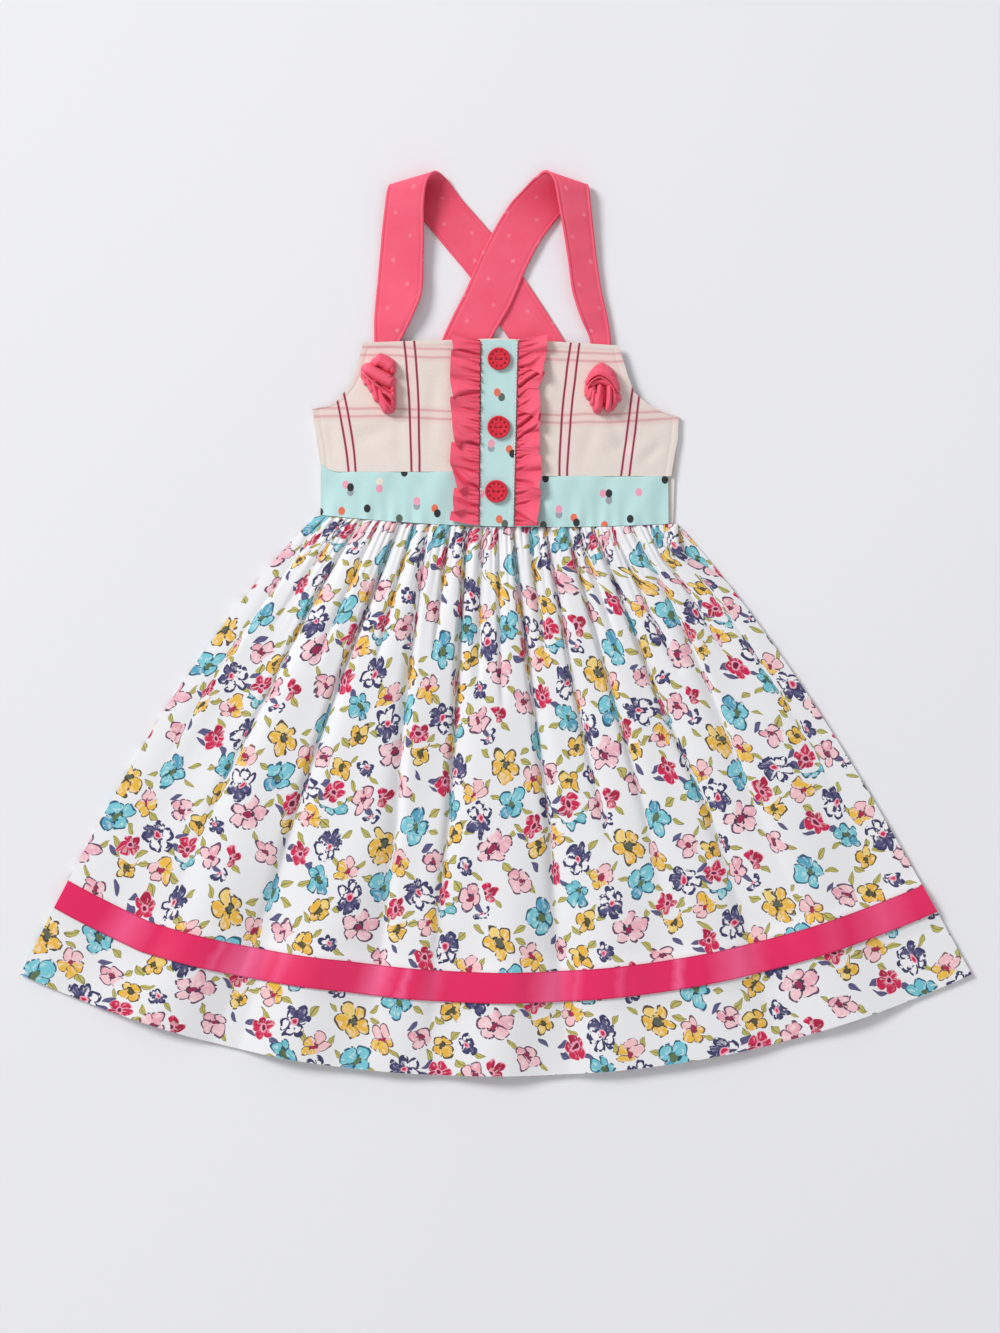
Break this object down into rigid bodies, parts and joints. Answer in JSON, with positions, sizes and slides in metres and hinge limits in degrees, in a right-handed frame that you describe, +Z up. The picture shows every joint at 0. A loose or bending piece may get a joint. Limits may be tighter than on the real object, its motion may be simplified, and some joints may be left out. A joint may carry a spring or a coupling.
{
  "type": "toddler sundress",
  "caption": "Sleeveless toddler sundress laid flat, with crossed straps, a ruffled buttoned bodice and a gathered floral skirt with a satin ribbon.",
  "frame": {"origin": "on the surface that the dress lies on, under the middle of its outline", "axes": "+X to the right of the front as seen from above, +Y from the hem towards the straps, +Z up out of the surface"},
  "size_m": [0.637, 0.606, 0.0175],
  "materials": {
    "cream_cotton": "matte woven cotton, cream with a windowpane check of dark red and dusty pink lines",
    "floral_cotton": "matte woven cotton, off-white with a small scattered flower print",
    "aqua_cotton": "matte woven cotton, pale aqua with paired dots",
    "coral_cotton": "matte woven cotton, coral pink, with small pale dots on the straps",
    "satin_ribbon": "satin, hot pink",
    "red_button": "gloss red plastic with dark red pits"
  },
  "bodies": {
    "root": {"back_bodice": "cream_cotton", "back_skirt": "floral_cotton", "ribbon_back": "satin_ribbon", "strap_left": "coral_cotton", "strap_right": "coral_cotton", "front_yoke_left": "cream_cotton", "front_yoke_right": "cream_cotton", "front_band_left": "aqua_cotton", "front_band_right": "aqua_cotton", "placket": "aqua_cotton", "ruffle_left": "coral_cotton", "ruffle_right": "coral_cotton", "button_top": "red_button", "button_middle": "red_button", "button_bottom": "red_button", "knot_left": "coral_cotton", "knot_right": "coral_cotton", "front_skirt": "floral_cotton", "ribbon_front": "satin_ribbon"}
  },
  "joints": []
}
